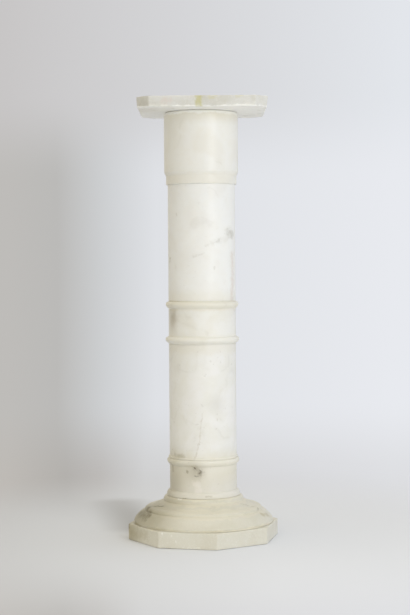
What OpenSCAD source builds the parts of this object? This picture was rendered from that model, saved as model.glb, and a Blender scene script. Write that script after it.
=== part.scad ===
// Turned alabaster pedestal column: seven stones stacked face to face on one axis.
// Frame: origin at the centre of the underside, +Z up, front towards -Y. Millimetres.

/* [Top slab] */
// Width of the square slab across its flat sides
slab_w = 292; // [230:1:360]
// Thickness of the slab
slab_t = 25; // [16:0.5:34]
// Leg of each clipped corner
slab_clip = 27.5; // [12:0.5:40]
// How far the slab sits off the column's axis, towards +X
slab_shift = 3.5; // [0:0.1:6]
// Bevel along the slab's upper edge
slab_top_bevel = 1.5; // [0.4:0.1:4]
// Bevel along the slab's lower edge
slab_low_bevel = 3; // [0.4:0.1:6]

/* [Capital drum] */
// Height of the drum with its lip
drum_h = 164.7; // [120:0.1:220]
// How far the drum stands out from the shaft
drum_out = 7.6; // [5:0.1:14]
// Round on the drum's top edge
drum_round = 7.5; // [2:0.5:10]
// Height of the lip at the drum's foot
lip_h = 19.5; // [10:0.5:28]
// How far the lip is set in from the drum
lip_in = 3.9; // [2:0.1:4.8]
// Height of the taper between drum and lip
lip_taper = 8; // [4:0.5:20]

/* [Shafts] */
// Diameter of the shaft, upper and lower alike
shaft_d = 153.8; // [110:0.2:200]
// Height of the upper shaft
upper_h = 264.5; // [180:0.5:360]
// Height of the lower shaft, down to its own bead
lower_h = 255; // [180:0.5:360]

/* [Collar] */
// Height of the plain band between the collar's two beads
waist_h = 64.4; // [30:0.2:110]
// Height of the collar's upper bead
top_bead_h = 15.8; // [10:0.2:26]
// How far the upper bead stands out from the shaft
top_bead_out = 6.4; // [3:0.1:10]
// Height of the collar's lower bead
low_bead_h = 15.4; // [10:0.2:26]
// How far the lower bead stands out from the shaft
low_bead_out = 7.6; // [3:0.1:10]
// Height of the sunk line at each end of the collar
quirk_h = 2.2; // [1:0.1:4]
// Depth of that sunk line
quirk_in = 0.8; // [0.3:0.1:2]

/* [Neck and foot] */
// Height of the bead at the foot of the lower shaft
foot_bead_h = 15.4; // [10:0.2:26]
// How far the foot bead stands out from the shaft
foot_bead_out = 6.1; // [3:0.1:10]
// Height of the narrow fillet above the foot bead
fillet_h = 5; // [2:0.5:8]
// How far that fillet stands out from the shaft
fillet_out = 2.4; // [0.5:0.1:2.9]
// Height of the plain neck
neck_h = 57.9; // [30:0.1:90]
// Height of the roll under the neck
roll_h = 13.5; // [8:0.5:20]
// How far that roll stands out from the shaft
roll_out = 7.5; // [4:0.1:12]

/* [Moulded base] */
// Height of the crown roll on top of the base
crown_h = 12; // [8:0.5:18]
// How far the crown roll stands out from the roll above it
crown_out = 7.9; // [4:0.1:12]
// Width of the sloping apron
apron_w = 27.7; // [16:0.1:40]
// Drop of the apron
apron_h = 11.5; // [6:0.5:18]
// Width of the low roll under the apron
low_roll_w = 16; // [8:0.5:24]
// Height of the low roll
low_roll_h = 9.5; // [5:0.5:14]
// Width of the wide ovolo
ovolo_w = 24; // [14:0.5:36]
// Height of the ovolo
ovolo_h = 24; // [14:0.5:36]
// Height of the upright band under the ovolo
band_h = 5; // [2:0.5:10]

/* [Plinth] */
// Height of the octagonal plinth
plinth_h = 37; // [20:1:60]
// Plinth left bare between the ovolo and the middle of its flat sides
plinth_margin = 1.8; // [1:0.1:40]
// Turn of the plinth about the axis, against the slab's sides, in degrees
plinth_turn = 12.8; // [0:0.1:22.5]
// Bevel along the plinth's upper and lower edges
plinth_bevel = 2; // [0.5:0.1:4]

/* [Hidden] */
STEPS = 12;
TURN_FN = 128;
NOSE = 0.58;    // share of a bead's height at which its nose lies
FULL = 0.5;     // exponent of a full round
SLACK = 0.8;    // exponent of a bead's leaner lower half
SLOPING = 0.78; // exponent of the ovolo, which is flatter than a quarter round
SEAT_IN = 1;    // how far the lowest ring of a moulding draws in at its joint

shaft_r = shaft_d / 2;
drum_r = shaft_r + drum_out;
lip_r = drum_r - lip_in;
roll_r = shaft_r + roll_out;
crown_r = roll_r + crown_out;
apron_r = crown_r + apron_w;
low_roll_r = apron_r + low_roll_w;
ovolo_r = low_roll_r + ovolo_w;
plinth_w = 2 * (ovolo_r + plinth_margin);

base_h = band_h + ovolo_h + low_roll_h + apron_h + crown_h;
lower_stone_h = roll_h + neck_h + foot_bead_h + fillet_h + lower_h;
collar_h = quirk_h + low_bead_h + waist_h + top_bead_h + quirk_h;

z_base = plinth_h;
z_lower = z_base + base_h;
z_collar = z_lower + lower_stone_h;
z_upper = z_collar + collar_h;
z_drum = z_upper + upper_h;
z_slab = z_drum + drum_h;

// Points of an arc about (cx, cz), from angle a0 to angle a1
function arc(cx, cz, r, a0, a1) =
    [for (i = [0:STEPS])
        let (a = a0 + (a1 - a0) * i / STEPS)
        [cx + r * cos(a), cz + r * sin(a)]];

// Points up a convex face, from (r + w, z) in to (r, z + h); shape sets how full it is
function convex(r, w, z, h, shape) =
    [for (i = [0:STEPS])
        let (u = i / STEPS)
        [r + w * pow(max(0, cos(90 * u)), 2 * shape), z + h * pow(sin(90 * u), 2 * shape)]];

// Points up a bead on a shaft of radius r: a lean lower half, then a full upper half
function bead(r, out, z, h) =
    concat([for (i = [0:STEPS - 1])
                let (u = i / STEPS)
                [r + out * pow(sin(90 * u), SLACK), z + h * NOSE * u]],
           convex(r, out, z + h * NOSE, h * (1 - NOSE), FULL));

// Turned stone: a face of points from the bottom up, closed on the axis
module turned(face, h) {
    rotate_extrude($fn = TURN_FN)
        polygon(concat([[0, 0]], face, [[0, h]]));
}

// Level bar along X, of width w and thickness t, with its long edges bevelled
module bevelled_bar(w, t, low, top, length) {
    rotate([90, 0, 90])
        linear_extrude(length, center = true)
            polygon([[low - w / 2, 0], [w / 2 - low, 0], [w / 2, low], [w / 2, t - top],
                     [w / 2 - top, t], [top - w / 2, t], [-w / 2, t - top], [-w / 2, low]]);
}

module top_slab() {
    across_clips = sqrt(2) * (slab_w - slab_clip);
    color("#e4e2d4")
        translate([slab_shift, 0, z_slab])
            intersection_for (turn = [0:45:135])
                rotate(turn)
                    bevelled_bar(turn % 90 == 0 ? slab_w : across_clips, slab_t,
                                 slab_low_bevel, slab_top_bevel, 2 * slab_w);
}

module capital_drum() {
    lip = [[lip_r, 0], [lip_r, lip_h]];
    crown = arc(drum_r - drum_round, drum_h - drum_round, drum_round, 0, 90);
    color("#efece2")
        translate([0, 0, z_drum])
            turned(concat(lip, [[drum_r, lip_h + lip_taper]], crown), drum_h);
}

module upper_shaft() {
    color("#f2f1ea")
        translate([0, 0, z_upper])
            cylinder(h = upper_h, r = shaft_r, $fn = TURN_FN);
}

module collar() {
    quirk_r = shaft_r - quirk_in;
    z_top_quirk = collar_h - quirk_h;
    color("#ebe7d8")
        translate([0, 0, z_collar])
            turned(concat([[quirk_r, 0], [quirk_r, quirk_h]],
                          bead(shaft_r, low_bead_out, quirk_h, low_bead_h),
                          bead(shaft_r, top_bead_out, z_top_quirk - top_bead_h, top_bead_h),
                          [[quirk_r, z_top_quirk], [quirk_r, collar_h]]),
                   collar_h);
}

module lower_shaft() {
    z_bead = roll_h + neck_h;
    z_fillet = z_bead + foot_bead_h;
    fillet_r = shaft_r + fillet_out;
    color("#e9e6d6")
        translate([0, 0, z_lower])
            turned(concat([[roll_r - SEAT_IN, 0]],
                          convex(shaft_r, roll_out, SEAT_IN, roll_h - SEAT_IN, FULL),
                          bead(shaft_r, foot_bead_out, z_bead, foot_bead_h),
                          [[fillet_r, z_fillet], [fillet_r, z_fillet + fillet_h - SEAT_IN],
                           [shaft_r, z_fillet + fillet_h], [shaft_r, lower_stone_h]]),
                   lower_stone_h);
}

module moulded_base() {
    z_low_roll = band_h + ovolo_h;
    z_apron = z_low_roll + low_roll_h;
    z_crown = z_apron + apron_h;
    color("#dcd7bf")
        translate([0, 0, z_base])
            turned(concat([[ovolo_r - SEAT_IN, 0], [ovolo_r - SEAT_IN, SEAT_IN]],
                          convex(low_roll_r, ovolo_w, band_h, ovolo_h, SLOPING),
                          [[low_roll_r - SEAT_IN, z_low_roll]],
                          convex(apron_r, low_roll_w - SEAT_IN, z_low_roll + SEAT_IN, low_roll_h - SEAT_IN, FULL),
                          [[crown_r, z_crown]],
                          convex(roll_r - SEAT_IN, crown_out + SEAT_IN, z_crown + SEAT_IN, crown_h - SEAT_IN, FULL)),
                   base_h);
}

module plinth() {
    color("#dad5bb")
        intersection_for (turn = [0:45:135])
            rotate(turn - plinth_turn)
                bevelled_bar(plinth_w, plinth_h, plinth_bevel, plinth_bevel, 2 * plinth_w);
}

top_slab();
capital_drum();
upper_shaft();
collar();
lower_shaft();
moulded_base();
plinth();
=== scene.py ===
"""Turned alabaster pedestal column: the looks of its seven stones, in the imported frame."""

import random
from math import cos, pi, radians, sin

import bpy
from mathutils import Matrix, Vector


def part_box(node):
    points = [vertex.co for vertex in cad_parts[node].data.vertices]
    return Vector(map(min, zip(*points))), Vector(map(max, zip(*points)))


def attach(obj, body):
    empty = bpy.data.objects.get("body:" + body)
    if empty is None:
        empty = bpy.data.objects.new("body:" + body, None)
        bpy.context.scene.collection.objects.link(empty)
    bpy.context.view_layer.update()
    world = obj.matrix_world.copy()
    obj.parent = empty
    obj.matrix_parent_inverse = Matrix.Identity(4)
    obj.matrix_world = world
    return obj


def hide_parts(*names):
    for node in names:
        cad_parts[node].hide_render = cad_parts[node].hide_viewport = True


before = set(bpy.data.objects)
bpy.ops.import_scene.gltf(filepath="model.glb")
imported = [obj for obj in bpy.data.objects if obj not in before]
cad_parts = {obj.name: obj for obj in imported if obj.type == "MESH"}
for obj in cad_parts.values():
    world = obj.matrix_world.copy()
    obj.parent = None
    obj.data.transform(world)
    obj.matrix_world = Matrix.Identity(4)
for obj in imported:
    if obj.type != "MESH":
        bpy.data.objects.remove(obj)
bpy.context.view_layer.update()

MM = 0.001
SIDES = 224          # steps of a full turn on the lathe
RING_STEP = 5 * MM   # longest stretch between two rings of a turned stone
ARRIS = 0.6 * MM     # how much an edge has worn round
BEND = radians(20)   # a corner sharper than this counts as an edge
RIM = 12 * MM        # ring of a seat that is drawn with its outline, so that its edge wears too
CORNER = 1.2 * MM    # bevel on the upright edges of a block
CRISP = radians(35)  # an edge sharper than this stays crisp

# ---------------------------------------------------------------- sizes of the mouldings

SHAFT_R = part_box("upper_shaft")[1].x
DRUM_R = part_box("capital_drum")[1].x
OVOLO_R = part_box("moulded_base")[1].x

DRUM_ROUND = 7.5 * MM
LIP_H = 19.5 * MM
LIP_IN = 3.9 * MM
LIP_TAPER = 8 * MM
QUIRK_H = 2.2 * MM
QUIRK_IN = 0.8 * MM
TOP_BEAD_H, TOP_BEAD_OUT = 15.8 * MM, 6.4 * MM
LOW_BEAD_H, LOW_BEAD_OUT = 15.4 * MM, 7.6 * MM
FOOT_BEAD_H, FOOT_BEAD_OUT = 15.4 * MM, 6.1 * MM
FILLET_H, FILLET_OUT = 5 * MM, 2.4 * MM
NECK_H = 57.9 * MM
ROLL_H, ROLL_OUT = 13.5 * MM, 7.5 * MM
CROWN_H, CROWN_OUT = 12 * MM, 7.9 * MM
APRON_H, APRON_W = 11.5 * MM, 27.7 * MM
LOW_ROLL_H, LOW_ROLL_W = 9.5 * MM, 16 * MM
OVOLO_H, OVOLO_W = 24 * MM, 24 * MM
BAND_H = 5 * MM
SLAB_CLIP = 27.5 * MM
SLAB_DRAFT = 2 * MM      # how far each of the slab's sides draws in at its underside
PLINTH_TURN = radians(12.8)
NOSE = 0.58              # share of a bead's height at which its nose lies
FULL, SLACK, SLOPING = 0.5, 0.8, 0.78   # exponents: a full round, a lean one, a flat one
SEAT_IN = 1 * MM         # how far the lowest ring of a moulding draws in at its joint


def foot(node):
    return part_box(node)[0].z


def head(node):
    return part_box(node)[1].z


# ---------------------------------------------------------------- outlines

def convex(r, w, z, h, shape, steps=9):
    """Points up a convex face, from (r + w, z) in to (r, z + h)."""
    turns = [pi / 2 * i / steps for i in range(steps + 1)]
    return [(r + w * max(0.0, cos(t)) ** (2 * shape), z + h * sin(t) ** (2 * shape)) for t in turns]


def bead(r, out, z, h, steps=8):
    """Points up a bead: a lean lower half under a full upper half."""
    lower = [(r + out * sin(pi / 2 * i / steps) ** SLACK, z + h * NOSE * i / steps)
             for i in range(steps)]
    return lower + convex(r, out, z + h * NOSE, h * (1 - NOSE), FULL)


def rounded(points, size):
    """Rounds each sharp corner of an outline by about the size given."""
    done = [points[0]]
    for before, corner, after in zip(points, points[1:], points[2:]):
        a, p, b = Vector(before), Vector(corner), Vector(after)
        come, go = p - a, b - p
        if min(come.length, go.length) < MM / 10 or come.angle(go) < BEND:
            done.append(corner)
            continue
        reach = min(size, come.length * 0.45, go.length * 0.45)
        start, end = p - come.normalized() * reach, p + go.normalized() * reach
        for share in (0, 0.33, 0.67, 1):
            bow = start * (1 - share) ** 2 + p * 2 * share * (1 - share) + end * share ** 2
            done.append(tuple(bow))
    return done + [points[-1]]


def closed(face, step=RING_STEP):
    """Closes a face on the axis at both ends, and divides its long stretches."""
    (foot_r, low), (head_r, high) = face[0], face[-1]
    rims = [(foot_r - RIM, low)] + face + [(head_r - RIM, high)]
    points = [(0.0, low)] + rounded(rims, ARRIS) + [(0.0, high)]
    fine = [points[0]]
    for (r0, z0), (r1, z1) in zip(points, points[1:]):
        length = Vector((r1 - r0, z1 - z0)).length
        parts = max(1, round(length / step)) if min(r0, r1) > 0 else 1
        fine += [(r0 + (r1 - r0) * i / parts, z0 + (z1 - z0) * i / parts) for i in range(1, parts + 1)]
    return fine


def drum_outline():
    z, top = foot("capital_drum"), head("capital_drum")
    lip = [(DRUM_R - LIP_IN, z), (DRUM_R - LIP_IN, z + LIP_H), (DRUM_R, z + LIP_H + LIP_TAPER)]
    crown = [(DRUM_R - DRUM_ROUND * (1 - cos(t)), top - DRUM_ROUND * (1 - sin(t)))
             for t in [pi / 2 * i / 8 for i in range(9)]]
    return lip + crown


def upper_shaft_outline():
    return [(SHAFT_R, foot("upper_shaft")), (SHAFT_R, head("upper_shaft"))]


def collar_outline():
    z, top = foot("collar"), head("collar")
    sunk = SHAFT_R - QUIRK_IN
    return ([(sunk, z), (sunk, z + QUIRK_H)]
            + bead(SHAFT_R, LOW_BEAD_OUT, z + QUIRK_H, LOW_BEAD_H)
            + bead(SHAFT_R, TOP_BEAD_OUT, top - QUIRK_H - TOP_BEAD_H, TOP_BEAD_H)
            + [(sunk, top - QUIRK_H), (sunk, top)])


def lower_shaft_outline():
    z, top = foot("lower_shaft"), head("lower_shaft")
    z_bead = z + ROLL_H + NECK_H
    z_fillet = z_bead + FOOT_BEAD_H
    return ([(SHAFT_R + ROLL_OUT - SEAT_IN, z)]
            + convex(SHAFT_R, ROLL_OUT, z + SEAT_IN, ROLL_H - SEAT_IN, FULL)
            + bead(SHAFT_R, FOOT_BEAD_OUT, z_bead, FOOT_BEAD_H)
            + [(SHAFT_R + FILLET_OUT, z_fillet), (SHAFT_R + FILLET_OUT, z_fillet + FILLET_H - SEAT_IN),
               (SHAFT_R, z_fillet + FILLET_H), (SHAFT_R, top)])


def base_outline():
    z = foot("moulded_base")
    low_roll_r = OVOLO_R - OVOLO_W
    apron_r = low_roll_r - LOW_ROLL_W
    crown_r = apron_r - APRON_W
    roll_r = crown_r - CROWN_OUT
    z_low_roll = z + BAND_H + OVOLO_H
    z_apron = z_low_roll + LOW_ROLL_H
    z_crown = z_apron + APRON_H
    return ([(OVOLO_R - SEAT_IN, z), (OVOLO_R - SEAT_IN, z + SEAT_IN)]
            + convex(low_roll_r, OVOLO_W, z + BAND_H, OVOLO_H, SLOPING, 16)
            + [(low_roll_r - SEAT_IN, z_low_roll)]
            + convex(apron_r, LOW_ROLL_W - SEAT_IN, z_low_roll + SEAT_IN, LOW_ROLL_H - SEAT_IN, FULL)
            + [(crown_r, z_crown)]
            + convex(roll_r - SEAT_IN, CROWN_OUT + SEAT_IN, z_crown + SEAT_IN, CROWN_H - SEAT_IN, FULL))


def radius_at(outline, z):
    """Outer radius of an outline at height z."""
    hits = [r0 + (r1 - r0) * (z - z0) / (z1 - z0)
            for (r0, z0), (r1, z1) in zip(outline, outline[1:]) if z0 <= z <= z1 and z1 > z0]
    return max(hits)


def on_stone(outline, angle, z):
    """Point on a turned stone: angle in degrees from the front towards +X, z in metres."""
    r = radius_at(outline, z)
    return Vector((r * sin(radians(angle)), -r * cos(radians(angle)), z))


# ---------------------------------------------------------------- modelling

def lathe(name, face, step=RING_STEP):
    """Draws the outline vertex by vertex and spins it about the axis into a closed stone."""
    outline = closed(face, step)
    bpy.ops.object.select_all(action="DESELECT")
    bpy.ops.mesh.primitive_plane_add(size=MM, location=(0, 0, outline[0][1]))
    stone = bpy.context.object
    stone.name = stone.data.name = name
    bpy.ops.object.transform_apply(location=True, rotation=True, scale=True)
    bpy.ops.object.mode_set(mode="EDIT")
    bpy.ops.mesh.select_mode(type="VERT")
    bpy.ops.mesh.select_all(action="SELECT")
    bpy.ops.mesh.merge(type="CENTER")
    for (r0, z0), (r1, z1) in zip(outline, outline[1:]):
        bpy.ops.mesh.extrude_region_move(TRANSFORM_OT_translate={"value": (r1 - r0, 0, z1 - z0)})
    bpy.ops.mesh.select_all(action="SELECT")
    bpy.ops.mesh.spin(steps=SIDES, angle=2 * pi, center=(0, 0, 0), axis=(0, 0, 1))
    bpy.ops.mesh.select_all(action="SELECT")
    bpy.ops.mesh.remove_doubles(threshold=MM / 50)
    bpy.ops.mesh.normals_make_consistent(inside=False)
    bpy.ops.object.mode_set(mode="OBJECT")
    return stone


def pick_edges(piece, test):
    """Leaves edit mode on, with only the edges selected whose two ends pass the test."""
    bpy.ops.object.mode_set(mode="EDIT")
    bpy.ops.mesh.select_mode(type="EDGE")
    bpy.ops.mesh.select_all(action="DESELECT")
    bpy.ops.object.mode_set(mode="OBJECT")
    at = [v.co for v in piece.data.vertices]
    for edge in piece.data.edges:
        a, b = (at[i] for i in edge.vertices)
        edge.select = test(a, b)
    bpy.ops.object.mode_set(mode="EDIT")


def cut_grid(piece, low, high, coarse, fine, margin):
    """Bisects a block across X and Y into a grid, finer within the margin of its sides."""
    for axis in (0, 1):
        cuts, at = [], low[axis] + fine
        while at < high[axis]:
            cuts.append(at)
            near = min(at - low[axis], high[axis] - at) < margin
            at += fine if near else coarse
        for at in cuts:
            place, normal = [0.0, 0.0, 0.0], [0.0, 0.0, 0.0]
            place[axis], normal[axis] = at, 1.0
            bpy.ops.mesh.select_all(action="SELECT")
            bpy.ops.mesh.bisect(plane_co=place, plane_no=normal)


def cut_levels(low, high, count):
    """Bisects a block into level layers."""
    for i in range(1, count):
        bpy.ops.mesh.select_all(action="SELECT")
        bpy.ops.mesh.bisect(plane_co=(0, 0, low + (high - low) * i / count), plane_no=(0, 0, 1))


def bevelled_rims(piece, low_z, high_z, low_bevel, high_bevel):
    """Bevels the edges all round a block's underside and top."""
    for z, size in ((low_z, low_bevel), (high_z, high_bevel)):
        pick_edges(piece, lambda a, b: abs(a.z - z) < MM / 10 and abs(b.z - z) < MM / 10)
        bpy.ops.mesh.bevel(offset=size, segments=3, affect="EDGES")


def slab_block():
    """Square block with clipped corners, drawn in a little at its underside."""
    low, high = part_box("top_slab")
    bpy.ops.object.select_all(action="DESELECT")
    bpy.ops.mesh.primitive_cube_add(size=1, location=(low + high) / 2, scale=high - low)
    slab = bpy.context.object
    slab.name = slab.data.name = "top_slab_stone"
    bpy.ops.object.transform_apply(location=True, rotation=True, scale=True)
    pick_edges(slab, lambda a, b: abs(a.z - b.z) > MM)
    bpy.ops.mesh.bevel(offset=SLAB_CLIP, segments=1, affect="EDGES")
    pick_edges(slab, lambda a, b: a.z < low.z + MM and b.z < low.z + MM)
    draft = 1 - 2 * SLAB_DRAFT / (high.x - low.x)
    bpy.ops.transform.resize(value=(draft, draft, 1), center_override=((low + high) / 2))
    pick_edges(slab, lambda a, b: abs(a.z - b.z) > MM)
    bpy.ops.mesh.bevel(offset=CORNER, segments=2, affect="EDGES")
    bevelled_rims(slab, low.z, high.z, low_bevel=2.2 * MM, high_bevel=1.2 * MM)
    cut_grid(slab, low, high, coarse=7 * MM, fine=2.5 * MM, margin=12 * MM)
    cut_levels(low.z, high.z, count=7)
    bpy.ops.object.mode_set(mode="OBJECT")
    return slab


def plinth_block():
    """Regular octagon, turned against the slab."""
    low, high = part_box("plinth")
    corners = [v.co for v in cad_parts["plinth"].data.vertices]
    flat_r = max(co.x * cos(PLINTH_TURN) - co.y * sin(PLINTH_TURN) for co in corners)
    bpy.ops.object.select_all(action="DESELECT")
    bpy.ops.mesh.primitive_cylinder_add(vertices=8, radius=flat_r / cos(pi / 8), depth=high.z,
                                        location=(0, 0, high.z / 2),
                                        rotation=(0, 0, pi / 8 - PLINTH_TURN))
    plinth = bpy.context.object
    plinth.name = plinth.data.name = "plinth_stone"
    bpy.ops.object.transform_apply(location=True, rotation=True, scale=True)
    pick_edges(plinth, lambda a, b: abs(a.z - b.z) > MM)
    bpy.ops.mesh.bevel(offset=CORNER, segments=2, affect="EDGES")
    bevelled_rims(plinth, low.z, high.z, low_bevel=1.6 * MM, high_bevel=1.8 * MM)
    cut_grid(plinth, low, high, coarse=6 * MM, fine=3 * MM, margin=20 * MM)
    cut_levels(low.z, high.z, count=9)
    bpy.ops.object.mode_set(mode="OBJECT")
    return plinth


def between_seats(low, high):
    """Weight that is nothing at both ends of a turned stone, and full 4 mm in from them."""
    def weight(co):
        return min(1.0, max(0.0, min(co.z - low, high - co.z) / (4 * MM)))
    return weight


def off_the_seat(seat_z, seat_r):
    """Weight that is nothing on the round seat of a block, so that the next stone sits tight, and
    full 6 mm away from it."""
    def weight(co):
        return min(1.0, max(abs(co.z - seat_z), co.xy.length - seat_r, 0.0) / (6 * MM))
    return weight


def ripple(piece, grain, depth, level, weight):
    """Moves a surface by a cloudy pattern, as wear and hand work leave it: in and out at level 0.5,
    only inwards at level 1. The weight of a vertex comes from its place."""
    group = piece.vertex_groups.new(name="rippled")
    for v in piece.data.vertices:
        if weight(v.co) > 0:
            group.add([v.index], weight(v.co), "REPLACE")
    texture = bpy.data.textures.new("clouds", "CLOUDS")
    texture.noise_scale = grain
    modifier = piece.modifiers.new("ripple", "DISPLACE")
    modifier.texture = texture
    modifier.texture_coords = "LOCAL"
    modifier.strength = depth
    modifier.mid_level = level
    modifier.vertex_group = group.name
    bpy.context.view_layer.objects.active = piece
    bpy.ops.object.modifier_apply(modifier="ripple")


def carve(piece, cutter):
    """Takes the cutter's shape out of the stone."""
    modifier = piece.modifiers.new("carve", "BOOLEAN")
    modifier.operation = "DIFFERENCE"
    modifier.object = cutter
    modifier.solver = "EXACT"
    bpy.context.view_layer.objects.active = piece
    bpy.ops.object.modifier_apply(modifier="carve")
    bpy.data.objects.remove(cutter)


def chip(piece, places, seed):
    """Breaks small flakes off a stone's arrises: a rough lump is taken out at each place."""
    dice = random.Random(seed)
    lumps = []
    for place, size in places:
        bpy.ops.object.select_all(action="DESELECT")
        turn = [dice.uniform(0, pi) for _ in range(3)]
        bpy.ops.mesh.primitive_ico_sphere_add(subdivisions=2, radius=size, location=place, rotation=turn,
                                              scale=(1.5, 1.0, 0.6))
        bpy.ops.object.mode_set(mode="EDIT")
        bpy.ops.transform.vertex_random(offset=size * 0.14, seed=dice.randint(0, 999))
        bpy.ops.object.mode_set(mode="OBJECT")
        lumps.append(bpy.context.object)
    for lump in lumps:
        lump.select_set(True)
    bpy.context.view_layer.objects.active = lumps[0]
    bpy.ops.object.join()
    carve(piece, bpy.context.object)


def fissure(piece, path, width):
    """Cuts a narrow open crack along a path on the surface."""
    for a, b in zip(path, path[1:]):
        bpy.ops.object.select_all(action="DESELECT")
        turn = (b - a).to_track_quat("Z", "Y").to_euler()
        bpy.ops.mesh.primitive_cylinder_add(vertices=6, radius=width / 2,
                                            depth=(b - a).length * 1.1,
                                            location=(a + b) / 2, rotation=turn)
        carve(piece, bpy.context.object)


# ---------------------------------------------------------------- material: one small node helper

def linear(hex_code):
    """sRGB hex to a linear colour."""
    parts = [int(hex_code[i:i + 2], 16) / 255 for i in (1, 3, 5)]
    return [p / 12.92 if p <= 0.04045 else ((p + 0.055) / 1.055) ** 2.4 for p in parts] + [1.0]


def add(tree, kind, sockets=None, **settings):
    """Adds one node with its settings; a socket gets a value or a link."""
    made = tree.nodes.new(kind)
    for key, value in settings.items():
        setattr(made, key, value)
    for key, value in (sockets or {}).items():
        if isinstance(value, bpy.types.NodeSocket):
            tree.links.new(value, made.inputs[key])
        else:
            made.inputs[key].default_value = value
    return made.outputs


def tinted(tree, under, over, share, strength):
    """Colour under, with the colour over laid on it where the share mask is."""
    amount = add(tree, "ShaderNodeMath", {0: share, 1: strength}, operation="MULTIPLY")[0]
    return add(tree, "ShaderNodeMix", {0: amount, 6: under, 7: over}, data_type="RGBA")[2]


def streak(tree, spot, start, end, width, soft):
    """Mask of a round-ended streak from start to end, fading out over soft."""
    along = end - start
    turn = along.to_track_quat("X", "Z").to_euler() if along.length > 0 else (0, 0, 0)
    middle, half = (start + end) / 2, (along.length / 2, 0, 0)
    local = add(tree, "ShaderNodeMapping", {"Vector": spot, "Location": middle, "Rotation": turn},
                vector_type="TEXTURE")[0]
    folded = add(tree, "ShaderNodeVectorMath", {0: local}, operation="ABSOLUTE")[0]
    shorter = add(tree, "ShaderNodeVectorMath", {0: folded, 1: half}, operation="SUBTRACT")[0]
    beyond = add(tree, "ShaderNodeVectorMath", {0: shorter, 1: (0, 0, 0)}, operation="MAXIMUM")[0]
    away = add(tree, "ShaderNodeVectorMath", {0: beyond}, operation="LENGTH")["Value"]
    return add(tree, "ShaderNodeMapRange",
               {"Value": away, "From Min": max(0, width - soft) / 2, "From Max": (width + soft) / 2,
                "To Min": 1.0, "To Max": 0.0}, interpolation_type="SMOOTHSTEP")[0]


def course(tree, spot, path, width, soft, mottle):
    """Mask of a stain or vein: streaks from point to point, broken up by the mottle."""
    mask = streak(tree, spot, path[0], path[1], width, soft)
    for a, b in zip(path[1:], path[2:]):
        more = streak(tree, spot, a, b, width, soft)
        mask = add(tree, "ShaderNodeMath", {0: mask, 1: more}, operation="MAXIMUM")[0]
    broken = add(tree, "ShaderNodeMath", {0: mask, 1: mottle}, operation="ADD")[0]
    return add(tree, "ShaderNodeMapRange", {"Value": broken, "From Min": 0.25, "From Max": 1.25},
               interpolation_type="SMOOTHSTEP")[0]


def shade(tree, spot, point, reach):
    """Mask of a broad soft shade round a point."""
    return streak(tree, spot, point, point, 0.0, 2 * reach)


def level_band(tree, spot, z, half, soft):
    """Mask of a level band round the column at height z."""
    height = add(tree, "ShaderNodeSeparateXYZ", {0: spot})["Z"]
    off = add(tree, "ShaderNodeMath", {0: height, 1: z}, operation="SUBTRACT")[0]
    away = add(tree, "ShaderNodeMath", {0: off}, operation="ABSOLUTE")[0]
    return add(tree, "ShaderNodeMapRange", {"Value": away, "From Min": half, "From Max": half + soft,
                                            "To Min": 1.0, "To Max": 0.0}, interpolation_type="SMOOTHSTEP")[0]


CLOUD = 70 * MM       # milky clouds
WISP = 14 * MM        # darker wisps among them
FLECK = 9 * MM        # ragged flecks into which a stain breaks up
WANDER = 22 * MM      # bends in the outline of a stain or vein
STRAY = 16 * MM       # twice the furthest that such a bend can stray
VEIN_GAP = 120 * MM   # from one vein to the next
CRYSTAL = 2.5 * MM    # sugary crystals, drawn coarser than the real ones so that they show
SKIN = 1.6 * MM       # fine marks left under the polish, drawn coarser too
SKIN_DEPTH = 0.3 * MM
VEIN_SHARE = 0.08     # how strongly the veins show


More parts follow.
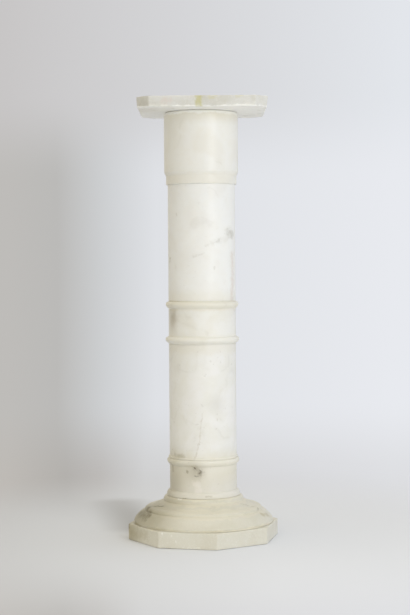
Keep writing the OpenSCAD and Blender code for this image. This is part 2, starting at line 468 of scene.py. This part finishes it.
def alabaster(name, pale, deep, warm, roughness, bands=(), shades=(), marks=(),
              wisps=0.2, painted_glints=0.06, tooth=0.02):
    """Alabaster, a soft fine-grained gypsum, turned and polished with wax: white, cloudy and
    faintly see-through, with grey-brown veins and an uneven waxy sheen. Pale, deep and warm are
    its clouds and wisps. A band is (colour, strength, height, half height, softness), a shade is
    (colour, strength, reach, centre), and a mark is (colour, strength, width, softness, path)."""
    material = bpy.data.materials.new(name)
    material.use_nodes = True
    tree = material.node_tree
    shader = tree.nodes["Principled BSDF"]
    place = add(tree, "ShaderNodeTexCoord")["Object"]

    # outlines of stains and veins bend by a few millimetres
    wander = add(tree, "ShaderNodeTexNoise", {"Vector": place, "Scale": 1 / WANDER, "Detail": 4.0,
                                              "Roughness": 0.62})["Color"]
    centred = add(tree, "ShaderNodeVectorMath", {0: wander, 1: (0.5, 0.5, 0.5)}, operation="SUBTRACT")[0]
    shift = add(tree, "ShaderNodeVectorMath", {0: centred, "Scale": STRAY}, operation="SCALE")[0]
    spot = add(tree, "ShaderNodeVectorMath", {0: place, 1: shift}, operation="ADD")[0]

    # clouds, with wisps among them
    cloud = add(tree, "ShaderNodeTexNoise", {"Vector": place, "Scale": 1 / CLOUD, "Detail": 3.0,
                                             "Distortion": 0.6})["Fac"]
    cloud_share = add(tree, "ShaderNodeMapRange", {"Value": cloud, "From Min": 0.38, "From Max": 0.64},
                      interpolation_type="SMOOTHSTEP")[0]
    colour = add(tree, "ShaderNodeMix", {0: cloud_share, 6: linear(pale), 7: linear(deep)},
                 data_type="RGBA")[2]
    wisp = add(tree, "ShaderNodeTexNoise", {"Vector": spot, "Scale": 1 / WISP, "Detail": 5.0,
                                            "Roughness": 0.6})["Fac"]
    wisp_share = add(tree, "ShaderNodeMapRange", {"Value": wisp, "From Min": 0.5, "From Max": 0.72})[0]
    colour = tinted(tree, colour, linear(warm), wisp_share, wisps)

    # flecks that break up the stains
    flecks = add(tree, "ShaderNodeTexNoise", {"Vector": place, "Scale": 1 / FLECK, "Detail": 3.0,
                                              "Roughness": 0.6})["Fac"]
    mottle = add(tree, "ShaderNodeMapRange", {"Value": flecks, "From Min": 0.3, "From Max": 0.7,
                                              "To Min": -0.35, "To Max": 0.35})[0]

    # veins: thin lines where a slow noise crosses its middle, in the deeper clouds
    slow = add(tree, "ShaderNodeTexNoise", {"Vector": spot, "Scale": 1 / VEIN_GAP, "Detail": 2.0})["Fac"]
    crossing = add(tree, "ShaderNodeMath", {0: slow, 1: 0.5}, operation="SUBTRACT")[0]
    thin = add(tree, "ShaderNodeMath", {0: crossing}, operation="ABSOLUTE")[0]
    line = add(tree, "ShaderNodeMapRange", {"Value": thin, "From Min": 0.0, "From Max": 0.018,
                                            "To Min": 1.0, "To Max": 0.0})[0]
    patch = add(tree, "ShaderNodeMapRange", {"Value": cloud, "From Min": 0.45, "From Max": 0.6})[0]
    vein = add(tree, "ShaderNodeMath", {0: line, 1: patch}, operation="MULTIPLY")[0]
    colour = tinted(tree, colour, linear("#A39C8E"), vein, VEIN_SHARE)

    # painted glints: some of the crystals are drawn whiter in the colour
    crystal = add(tree, "ShaderNodeTexVoronoi", {"Vector": place, "Scale": 1 / CRYSTAL})["Color"]
    glint = add(tree, "ShaderNodeSeparateXYZ", {0: crystal})["X"]
    painted_glint_share = add(tree, "ShaderNodeMapRange", {"Value": glint, "From Min": 0.72, "From Max": 1.0})[0]
    colour = tinted(tree, colour, linear("#FFFFFC"), painted_glint_share, painted_glints)

    for hex_code, strength, z, half, soft in bands:
        mask = level_band(tree, spot, z, half, soft)
        colour = tinted(tree, colour, linear(hex_code), mask, strength)
    for hex_code, strength, reach, point in shades:
        mask = shade(tree, spot, point, reach)
        colour = tinted(tree, colour, linear(hex_code), mask, strength)
    for hex_code, strength, width, soft, path in marks:
        mask = course(tree, spot, path, width, soft, mottle)
        colour = tinted(tree, colour, linear(hex_code), mask, strength)

    rough = add(tree, "ShaderNodeMapRange", {"Value": wisp, "From Min": 0.35, "From Max": 0.7,
                                             "To Min": roughness - 0.04, "To Max": roughness + 0.08})[0]
    skin = add(tree, "ShaderNodeTexNoise", {"Vector": place, "Scale": 1 / SKIN, "Detail": 3.0})["Fac"]
    bump = add(tree, "ShaderNodeBump", {"Height": skin, "Strength": tooth, "Distance": SKIN_DEPTH})[0]
    tree.links.new(colour, shader.inputs["Base Color"])
    tree.links.new(rough, shader.inputs["Roughness"])
    tree.links.new(bump, shader.inputs["Normal"])
    shader.inputs["IOR"].default_value = 1.52
    shader.inputs["Subsurface Weight"].default_value = 0.25
    shader.inputs["Subsurface Radius"].default_value = (1.0, 0.96, 0.85)
    shader.inputs["Subsurface Scale"].default_value = 2.5 * MM
    return material


# ---------------------------------------------------------------- the seven stones

def dress(piece, node, material):
    """Gives a finished stone its material and its place in the frame."""
    bpy.ops.object.select_all(action="DESELECT")
    piece.select_set(True)
    bpy.context.view_layer.objects.active = piece
    bpy.ops.object.shade_smooth_by_angle(angle=CRISP)
    piece.data.materials.clear()
    piece.data.materials.append(material)
    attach(piece, "root")
    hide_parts(node)


def turned_stone(node, face, step=RING_STEP, out_of_true=0.5 * MM):
    """A stone off the lathe, a little out of true between its two seats."""
    piece = lathe(node + "_stone", face, step)
    ripple(piece, grain=55 * MM, depth=out_of_true, level=0.5,
           weight=between_seats(foot(node), head(node)))
    return piece


def along_stone(face, *places):
    """Path on a turned stone through places given as (angle in degrees, height in mm)."""
    return [on_stone(face, angle, z * MM) for angle, z in places]


def crooked(face, *places):
    """Jagged path on a turned stone through the places given."""
    dice = random.Random(len(places))
    fine = [places[0]]
    for (a0, z0), (a1, z1) in zip(places, places[1:]):
        for share in (0.5, 1.0):
            fine.append((a0 + (a1 - a0) * share + dice.uniform(-1.5, 1.5),
                         z0 + (z1 - z0) * share + dice.uniform(-0.8, 0.8)))
    return along_stone(face, *fine)


def blot(point, reach=3 * MM):
    """Short upright path that stands for a spot."""
    return [point - Vector((0, 0, reach / 2)), point + Vector((0, 0, reach / 2))]


# stains and veins, from light to dark; BARK, TAWNY and MOSS are also used for painted shade on the left sides
HAZE, VEIN_GREY, CLAY, GREY_BROWN = "#CBC9C0", "#C2BEB1", "#CDB7A2", "#A8A493"
TAWNY, BARK, OLIVE, MOSS, PEAT, UMBER = "#9D9372", "#96805A", "#8F8460", "#7F7653", "#6A6040", "#5C5340"
# warm bands and clear spots; HONEY is also used for a painted warm shade, CREAM, MILK and CHALK for painted
# light and highlights
HONEY, CREAM, MILK, CHALK = "#E2DABD", "#E8E2CE", "#FDFBF4", "#FFFEF8"

slab = slab_block()
slab_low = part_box("top_slab")[0]


def on_slab_front(x, z):
    """Point on the slab's front, in mm across and up."""
    return Vector((x * MM, slab_low.y, z * MM))


ripple(slab, grain=18 * MM, depth=1.2 * MM, level=1.0, weight=off_the_seat(slab_low.z, DRUM_R))
chip(slab, [(on_slab_front(-115, 976), 3.0 * MM), (on_slab_front(-80, 976), 3.5 * MM),
            (on_slab_front(-72, 976), 2.5 * MM), (on_slab_front(111, 976), 3.0 * MM)], seed=5)
dress(slab, "top_slab", alabaster(
    "honed_alabaster_slab", "#E4E3DD", "#DAD8CE", "#D3CEBC", 0.42, painted_glints=0.15, tooth=0.06, bands=[
        # painted light: the slab's underside and the lowest few mm of its front drawn lighter, as if lit
        # through the stone
        (CHALK, 1.0, slab_low.z - 5 * MM, 6 * MM, 4 * MM)], shades=[
        # painted shade at the left end of the slab's underside
        (BARK, 0.2, 110 * MM, Vector((-140, -60, 974)) * MM)], marks=[
        ("#CDC88F", 0.8, 19 * MM, 12 * MM, [on_slab_front(-3, 972), on_slab_front(-2, 1003)]),
        ("#DAD5B0", 0.6, 10 * MM, 10 * MM, [on_slab_front(18, 995), on_slab_front(34, 998)]),
        ("#D9D2A8", 0.6, 9 * MM, 8 * MM, [on_slab_front(78, 996), on_slab_front(90, 998)]),
        ("#E4D8CF", 0.6, 14 * MM, 14 * MM, [on_slab_front(-84, 986), on_slab_front(-66, 990)]),
        # painted highlights along the slab's lower front arris, left and right
        (MILK, 0.6, 10 * MM, 10 * MM, [on_slab_front(-112, 978), on_slab_front(-70, 976)]),
        (MILK, 0.5, 10 * MM, 10 * MM, [on_slab_front(96, 978), on_slab_front(122, 984)])]))

drum_low, drum_high = foot("capital_drum"), head("capital_drum")
drum = turned_stone("capital_drum", drum_outline())
dress(drum, "capital_drum", alabaster(
    "polished_alabaster_drum", "#F5F4EE", "#F2F0E8", "#EEEADE", 0.34, bands=[
        # painted shade of the slab: a warm darker band down from the drum's head
        (HONEY, 0.35, drum_high, 5 * MM, 30 * MM),
        # painted light on the drum's top edge, in the joint under the slab
        (CHALK, 0.9, drum_high, 4 * MM, 7 * MM),
        (CREAM, 0.25, drum_low + 10 * MM, 8 * MM, 16 * MM)]))

upper_face = upper_shaft_outline()
upper = turned_stone("upper_shaft", upper_face)
dress(upper, "upper_shaft", alabaster(
    "polished_alabaster_upper_shaft", "#F7F7F3", "#F4F3EE", "#F0EDE5", 0.36, bands=[
        (CREAM, 0.25, foot("upper_shaft"), 8 * MM, 24 * MM)], marks=[
        (GREY_BROWN, 0.4, 11 * MM, 32 * MM, along_stone(upper_face, (53, 702), (66, 694))),
        (VEIN_GREY, 0.3, 4 * MM, 10 * MM, along_stone(upper_face, (8, 671), (30, 681))),
        (VEIN_GREY, 0.35, 4 * MM, 10 * MM, along_stone(upper_face, (-15, 645), (4, 655))),
        ("#C8C5BA", 0.2, 8 * MM, 26 * MM, along_stone(upper_face, (20, 676), (57, 692))),
        (OLIVE, 0.6, 5 * MM, 9 * MM, along_stone(upper_face, (-70, 642), (-74, 634))),
        (CLAY, 0.3, 9 * MM, 32 * MM, along_stone(upper_face, (62, 650), (66, 600), (63, 548))),
        (HAZE, 0.35, 4 * MM, 8 * MM, blot(on_stone(upper_face, -47, 740 * MM))),
        (HAZE, 0.35, 4 * MM, 9 * MM, blot(on_stone(upper_face, 21, 620 * MM)))]))

collar_face = collar_outline()
collar = turned_stone("collar", collar_face, step=3 * MM)
dress(collar, "collar", alabaster(
    "polished_alabaster_collar", "#F4F3ED", "#F0EEE5", "#E9E5D8", 0.36, bands=[
        (HONEY, 0.3, head("collar") - 9 * MM, 8 * MM, 9 * MM),
        (HONEY, 0.15, foot("collar") + 9 * MM, 8 * MM, 9 * MM)], shades=[
        # olive stain on the collar's left, widened into painted shade along its left side
        (BARK, 0.3, 34 * MM, on_stone(collar_face, -60, 514 * MM)),
        (BARK, 0.26, 34 * MM, on_stone(collar_face, -64, 494 * MM))], marks=[
        ("#9C9268", 0.2, 9 * MM, 30 * MM, along_stone(collar_face, (-56, 518), (-60, 498)))]))

lower_face = lower_shaft_outline()
lower = turned_stone("lower_shaft", lower_face)
lower_low = foot("lower_shaft")
long_vein = along_stone(lower_face, (1, 290), (-4, 256), (-7, 227), (-12.5, 200), (-16, 187))
dress(lower, "lower_shaft", alabaster(
    "polished_alabaster_lower_shaft", "#F4F3EF", "#F0EFE8", "#E9E5D9", 0.36, bands=[
        (CREAM, 0.3, head("lower_shaft"), 10 * MM, 20 * MM),
        (HONEY, 0.4, lower_low + 70 * MM, 14 * MM, 34 * MM),
        ("#DBD5C2", 0.5, lower_low, 30 * MM, 40 * MM)], shades=[
        (HAZE, 0.28, 36 * MM, on_stone(lower_face, 24, 312 * MM)),
        # painted shade on the left side of the neck and the foot
        (TAWNY, 0.32, 75 * MM, on_stone(lower_face, -62, 165 * MM)),
        (TAWNY, 0.42, 70 * MM, on_stone(lower_face, -75, 110 * MM)),
        ("#A39A84", 0.4, 36 * MM, on_stone(lower_face, -14, 162 * MM))], marks=[
        ("#C2B8A4", 0.32, 2 * MM, 7 * MM, long_vein),
        (MILK, 0.8, 2 * MM, 3 * MM, along_stone(lower_face, (-4, 377), (6, 371))),
        (MILK, 0.8, 2 * MM, 3 * MM, along_stone(lower_face, (12, 364), (22, 359))),
        (OLIVE, 0.32, 6 * MM, 20 * MM, along_stone(lower_face, (-56, 195), (-38, 194))),
        ("#8E846C", 0.5, 14 * MM, 26 * MM, along_stone(lower_face, (-12, 166), (-5, 155))),
        (UMBER, 0.75, 3 * MM, 5 * MM, along_stone(lower_face, (-15, 169), (-12, 163))),
        (UMBER, 0.8, 3.5 * MM, 6 * MM, along_stone(lower_face, (-6, 163), (-3, 159), (-6, 156))),
        (UMBER, 0.75, 3 * MM, 6 * MM, along_stone(lower_face, (-14, 152), (-9, 150))),
        (OLIVE, 0.6, 4 * MM, 6 * MM, blot(on_stone(lower_face, -29, 158 * MM))),
        (OLIVE, 0.45, 6 * MM, 18 * MM, along_stone(lower_face, (-66, 172), (-64, 160))),
        ("#F6F0E8", 0.55, 18 * MM, 18 * MM, along_stone(lower_face, (-13, 133), (-8, 117))),
        (UMBER, 0.6, 1.6 * MM, 3 * MM, along_stone(lower_face, (-84, 101), (-55, 101), (-26, 101))),
        (OLIVE, 0.3, 4 * MM, 10 * MM, along_stone(lower_face, (3, 104), (14, 102)))]))

base_face = base_outline()
base = turned_stone("moulded_base", base_face, step=2.5 * MM, out_of_true=1.2 * MM)
base_low = foot("moulded_base")
low_roll_low = base_low + BAND_H + OVOLO_H
apron_low = low_roll_low + LOW_ROLL_H
crown_low = apron_low + APRON_H
left_hook = crooked(base_face, (-57, 80), (-68, 79), (-76, 73), (-72, 67))
right_hook = crooked(base_face, (58, 84), (65, 80), (70, 74), (67, 69))
fissure(base, left_hook, 2.2 * MM)
fissure(base, right_hook, 1.4 * MM)
dress(base, "moulded_base", alabaster(
    "polished_alabaster_base", "#DEDACA", "#D9D5C3", "#D1CAB5", 0.33, wisps=0.15, bands=[
        # painted light in the creases between the mouldings and at the joints above and below
        (CREAM, 0.8, base_low, 3 * MM, 3 * MM),
        (CREAM, 0.5, low_roll_low, 2 * MM, 3 * MM),
        (CREAM, 0.5, apron_low, 2 * MM, 3 * MM),
        (CREAM, 0.6, crown_low, 2 * MM, 3 * MM),
        (CREAM, 0.6, head("moulded_base"), 2 * MM, 3 * MM)], shades=[
        # painted shade over the base's left side, deepest round the olive-brown stain on its ovolo
        ("#9A9070", 0.3, 95 * MM, on_stone(base_face, -48, 56 * MM)),
        (MOSS, 0.5, 125 * MM, on_stone(base_face, -72, 72 * MM)),
        (MOSS, 0.6, 75 * MM, on_stone(base_face, -82, 54 * MM))], marks=[
        (UMBER, 0.7, 3 * MM, 6 * MM, left_hook),
        (OLIVE, 0.6, 2.4 * MM, 6 * MM, right_hook),
        (PEAT, 0.6, 12 * MM, 30 * MM, along_stone(base_face, (-78, 72), (-62, 64))),
        (PEAT, 0.65, 14 * MM, 28 * MM, along_stone(base_face, (-84, 58), (-60, 57))),
        # painted shade on the ovolo's right flank
        ("#B3A67A", 0.55, 14 * MM, 16 * MM, along_stone(base_face, (66, 60), (76, 56))),
        (MILK, 0.6, 3 * MM, 5 * MM, along_stone(base_face, (-42, 98), (-34, 98)))]))

plinth = plinth_block()
ripple(plinth, grain=25 * MM, depth=1.2 * MM, level=1.0,
       weight=off_the_seat(head("plinth"), OVOLO_R - 6 * MM))
plinth_r = max(v.co.xy.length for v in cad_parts["plinth"].data.vertices)


def plinth_corner(step, z):
    """Corner of the octagon, counted from the one just right of the front, towards +X."""
    angle = pi / 8 + step * pi / 4 - PLINTH_TURN
    return Vector((plinth_r * sin(angle), -plinth_r * cos(angle), z * MM))


left_end, left_front, right_front = [plinth_corner(step, 20) for step in (-2, -1, 0)]


def on_plinth_front(share, rise):
    """Point on the plinth's front, at a share of the way across it and so many mm above 20 mm."""
    return left_front.lerp(right_front, share) + Vector((0, 0, rise * MM))


dress(plinth, "plinth", alabaster(
    "honed_alabaster_plinth", "#E3E0D2", "#DFDBCB", "#D7D1BE", 0.4, painted_glints=0.12, tooth=0.05, shades=[
        # painted shade over the plinth's left end
        ("#968B62", 0.6, 85 * MM, left_end)], marks=[
        ("#A79C74", 0.35, 20 * MM, 34 * MM, [left_end, left_end.lerp(left_front, 0.6)]),
        (UMBER, 0.6, 12 * MM, 14 * MM, [plinth_corner(-2, 30), plinth_corner(-2, 38)]),
        (MILK, 0.8, 4 * MM, 5 * MM, blot(on_plinth_front(0.07, 13))),
        (MILK, 0.8, 3 * MM, 5 * MM, blot(on_plinth_front(0.24, 8))),
        (MILK, 0.6, 3 * MM, 6 * MM, blot(on_plinth_front(0.3, -3))),
        (MILK, 0.5, 3 * MM, 5 * MM, [on_plinth_front(0.42, -17), on_plinth_front(0.7, -17)])]))

# ---------------------------------------------------------------- studio

EYE = Vector((0.0074, -3.5, 0.638))
LENS = 89.2
TILT, ROLL = 1.785, 0.43                   # degrees down and to the side
BACKDROP_EYE = Vector((0.0, -3.5, 0.64))   # point from which the backdrop's shading fans out

# tones of the backdrop from left to right, as (place, colour): low down, in the middle, high up
COVE = ((0.1, "#BEBAB5"), (0.22, "#B2AFAB"), (0.29, "#BBB8B5"),
        (0.38, "#CFCFCF"), (0.6, "#D7D7D9"), (0.88, "#DDDEE1"))
WALL = ((0.1, "#BEBCB9"), (0.2, "#BBBAB8"), (0.3, "#CED0D2"), (0.4, "#DFE1E5"), (0.88, "#E8EAEF"))
CLEAR = ((0.1, "#C8C6C6"), (0.9, "#E3E6EB"))


def backdrop_colour(tree, direction):
    """Pale backdrop seen along a direction: paler to the right, with a soft shade low on the left."""
    along = add(tree, "ShaderNodeSeparateXYZ", {0: direction})
    side = add(tree, "ShaderNodeMapRange", {"Value": along["X"], "From Min": -0.16, "From Max": 0.16})[0]
    tones = []
    for stops in (COVE, WALL, CLEAR):
        tone = add(tree, "ShaderNodeValToRGB", {0: side})[0]
        elements = tone.node.color_ramp.elements
        while len(elements) < len(stops):
            elements.new(0.5)
        for element, (at, hex_code) in zip(elements, stops):
            element.position = at
            element.color = linear(hex_code)
        tones.append(tone)
    cove, wall, clear = tones
    low = add(tree, "ShaderNodeMapRange", {"Value": along["Z"], "From Min": -0.09, "From Max": -0.15},
              interpolation_type="SMOOTHSTEP")[0]
    high = add(tree, "ShaderNodeMapRange", {"Value": along["Z"], "From Min": 0.05, "From Max": 0.11},
               interpolation_type="SMOOTHSTEP")[0]
    shaded = add(tree, "ShaderNodeMix", {0: low, 6: wall, 7: cove}, data_type="RGBA")[2]
    return add(tree, "ShaderNodeMix", {0: high, 6: shaded, 7: clear}, data_type="RGBA")[2]


def make_floor():
    """Round pale floor that fades into the backdrop's colour away from the column."""
    bpy.ops.object.select_all(action="DESELECT")
    bpy.ops.mesh.primitive_circle_add(vertices=96, radius=60, fill_type="NGON", location=(0, 0, 0))
    floor = bpy.context.object
    floor.name = "studio_floor"
    material = bpy.data.materials.new("matt_white_paper")
    material.use_nodes = True
    tree = material.node_tree
    paper = tree.nodes["Principled BSDF"]
    paper.inputs["Roughness"].default_value = 0.9
    place = add(tree, "ShaderNodeTexCoord")["Object"]
    # the paper is painted darker towards the left, where less light falls on it
    across = add(tree, "ShaderNodeSeparateXYZ", {0: place})["X"]
    right = add(tree, "ShaderNodeMapRange", {"Value": across, "From Min": -0.5, "From Max": 0.15})[0]
    tone = add(tree, "ShaderNodeMix", {0: right, 6: linear("#DBDCDE"), 7: linear("#ECEEF2")},
               data_type="RGBA")[2]
    # soft shade that trails off behind the column on its left
    shadow = streak(tree, place, Vector((-0.155, 0.13, 0)), Vector((-0.22, 0.5, 0)), 0.05, 0.17)
    tone = tinted(tree, tone, linear("#A9A7A3"), shadow, 0.6)
    tree.links.new(tone, paper.inputs["Base Color"])
    # only the camera sees the far floor as backdrop
    away = add(tree, "ShaderNodeVectorMath", {0: place}, operation="LENGTH")["Value"]
    far = add(tree, "ShaderNodeMapRange", {"Value": away, "From Min": 0.3, "From Max": 1.15},
              interpolation_type="SMOOTHSTEP")[0]
    seen = add(tree, "ShaderNodeLightPath")["Is Camera Ray"]
    share = add(tree, "ShaderNodeMath", {0: far, 1: seen}, operation="MULTIPLY")[0]
    reach = add(tree, "ShaderNodeVectorMath", {0: place, 1: BACKDROP_EYE}, operation="SUBTRACT")[0]
    direction = add(tree, "ShaderNodeVectorMath", {0: reach}, operation="NORMALIZE")[0]
    glow = add(tree, "ShaderNodeEmission", {"Color": backdrop_colour(tree, direction)})[0]
    both = add(tree, "ShaderNodeMixShader", {0: share, 1: paper.outputs[0], 2: glow})[0]
    tree.links.new(both, tree.nodes["Material Output"].inputs["Surface"])
    floor.data.materials.append(material)


def make_world():
    """Soft even room light, dimmer and warmer from the left, behind a pale backdrop."""
    world = bpy.data.worlds.new("studio")
    bpy.context.scene.world = world
    world.use_nodes = True
    tree = world.node_tree
    tree.nodes.clear()
    direction = add(tree, "ShaderNodeTexCoord")["Generated"]
    side = add(tree, "ShaderNodeSeparateXYZ", {0: direction})["X"]
    right = add(tree, "ShaderNodeMapRange", {"Value": side, "From Min": -1.0, "From Max": 1.0})[0]
    room = add(tree, "ShaderNodeMix", {0: right, 6: linear("#D8CFB8"), 7: linear("#D0D5DE")},
               data_type="RGBA")[2]
    light = add(tree, "ShaderNodeBackground", {"Color": room, "Strength": 1.0})[0]
    pale = backdrop_colour(tree, direction)
    backdrop = add(tree, "ShaderNodeBackground", {"Color": pale, "Strength": 1.0})[0]
    path = add(tree, "ShaderNodeLightPath")
    seen = add(tree, "ShaderNodeMath", {0: path["Is Camera Ray"], 1: path["Is Transmission Ray"]},
               operation="MAXIMUM")[0]
    both = add(tree, "ShaderNodeMixShader", {0: seen, 1: light, 2: backdrop})[0]
    add(tree, "ShaderNodeOutputWorld", {"Surface": both})


def make_lamp(name, azimuth, distance, height, aim, size, power):
    """Soft box at an azimuth in degrees from the front towards +X, aimed at a height on the axis."""
    lamp = bpy.data.lights.new(name, "AREA")
    lamp.shape = "RECTANGLE"
    lamp.size, lamp.size_y = size
    lamp.energy = power
    holder = bpy.data.objects.new(name, lamp)
    bpy.context.scene.collection.objects.link(holder)
    holder.location = (distance * sin(radians(azimuth)), -distance * cos(radians(azimuth)), height)
    holder.rotation_euler = (Vector((0, 0, aim)) - holder.location).to_track_quat("-Z", "Y").to_euler()


def make_camera():
    """A little above the column's middle, tilted slightly down and rolled a little."""
    camera = bpy.data.objects.new("camera", bpy.data.cameras.new("camera"))
    bpy.context.scene.collection.objects.link(camera)
    camera.data.lens = LENS
    camera.location = EYE
    camera.rotation_euler = (radians(90 - TILT), radians(ROLL), 0)
    bpy.context.scene.camera = camera


make_floor()
make_world()
make_lamp("key_softbox", azimuth=33, distance=2.3, height=1.2, aim=0.6, size=(0.75, 1.5), power=11.2)
make_lamp("ceiling_softbox", azimuth=0, distance=0.1, height=2.4, aim=0.0, size=(1.8, 1.2), power=9.0)
make_lamp("low_front_fill", azimuth=10, distance=1.6, height=0.08, aim=0.95, size=(1.6, 0.6), power=4.2)
make_camera()
bpy.context.scene.view_settings.view_transform = "Standard"
